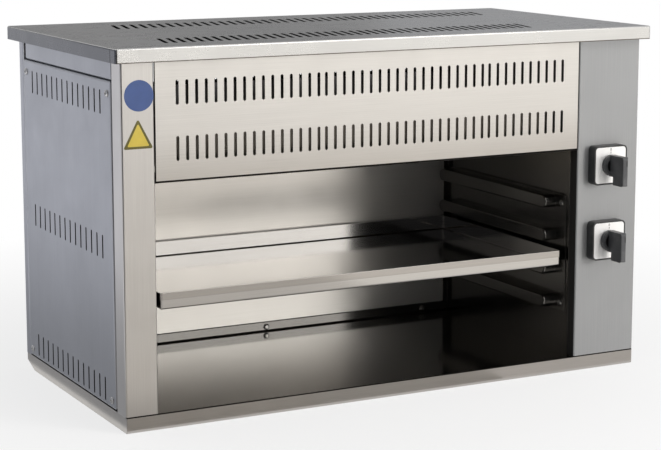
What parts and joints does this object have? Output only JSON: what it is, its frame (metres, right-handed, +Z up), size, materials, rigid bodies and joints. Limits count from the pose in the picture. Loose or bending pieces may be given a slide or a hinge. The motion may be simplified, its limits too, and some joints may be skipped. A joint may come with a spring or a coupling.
{
  "type": "cheese melter",
  "caption": "Counter-top cheese melter: folded steel housing with an open heated cavity, a tray that slides on pressed runners, and rotary heater switches.",
  "frame": {"origin": "centre of the body's footprint, on the underside of the base pan", "axes": "+X to the right seen from the front, +Y to the rear, +Z up; the opening and the switches face -Y"},
  "size_m": [0.699, 0.3984, 0.425],
  "materials": {
    "housing_steel": "stainless sheet with a fine vertical grain",
    "cover_steel": "stainless sheet, duller satin finish",
    "cavity_steel": "bright-rolled stainless sheet",
    "tray_steel": "bright-rolled stainless sheet, lightly used",
    "heater_sheath": "heat-darkened alloy sheath",
    "ferrule_brass": "plain turned brass",
    "black_plastic": "black moulded plastic, satin",
    "knob_plastic": "dark grey moulded plastic, satin",
    "plate_aluminium": "satin anodised plate",
    "shaft_steel": "turned steel",
    "terminal_plastic": "cream moulded thermoset",
    "screw_steel": "plain steel screws"
  },
  "bodies": {
    "body": {"base_pan": "housing_steel", "cavity_floor": "cavity_steel", "cavity_left_wall": "cavity_steel", "cavity_right_wall": "cavity_steel", "cavity_rear_wall": "cavity_steel", "heat_reflector": "cavity_steel", "front_heater": "heater_sheath", "rear_heater": "heater_sheath", "heater_hangers": "cavity_steel", "heater_ferrules": "ferrule_brass", "left_front_post": "housing_steel", "control_panel": "housing_steel", "vent_panel": "housing_steel", "left_side_rail": "cover_steel", "right_side_rail": "cover_steel", "left_side_panel": "cover_steel", "right_side_panel": "cover_steel", "rear_panel": "cover_steel", "top_cover": "cover_steel", "left_rack": "cavity_steel", "right_rack": "cavity_steel", "upper_bezel": "black_plastic", "lower_bezel": "black_plastic", "upper_face_plate": "plate_aluminium", "lower_face_plate": "plate_aluminium", "upper_switch": "black_plastic", "lower_switch": "black_plastic", "terminal_block": "terminal_plastic", "cable_gland": "black_plastic", "gland_locknut": "black_plastic", "side_panel_screws": "screw_steel", "rack_screws": "screw_steel", "floor_screws": "screw_steel", "switch_screws": "screw_steel"},
    "tray": {"tray_pan": "tray_steel"},
    "upper_control": {"upper_knob": "knob_plastic", "upper_shaft": "shaft_steel"},
    "lower_control": {"lower_knob": "knob_plastic", "lower_shaft": "shaft_steel"}
  },
  "joints": [
    {"name": "tray_slide", "type": "slide", "parent": "body", "child": "tray", "axis": [0, -1, 0], "range_m": [0, 0.22]},
    {"name": "upper_knob_turn", "type": "hinge", "parent": "body", "child": "upper_control", "pos_m": [0.2915, -0.1815, 0.257], "axis": [0, 1, 0], "range_deg": [0, 90]},
    {"name": "lower_knob_turn", "type": "hinge", "parent": "body", "child": "lower_control", "pos_m": [0.2915, -0.1815, 0.1635], "axis": [0, 1, 0], "range_deg": [0, 90]}
  ]
}
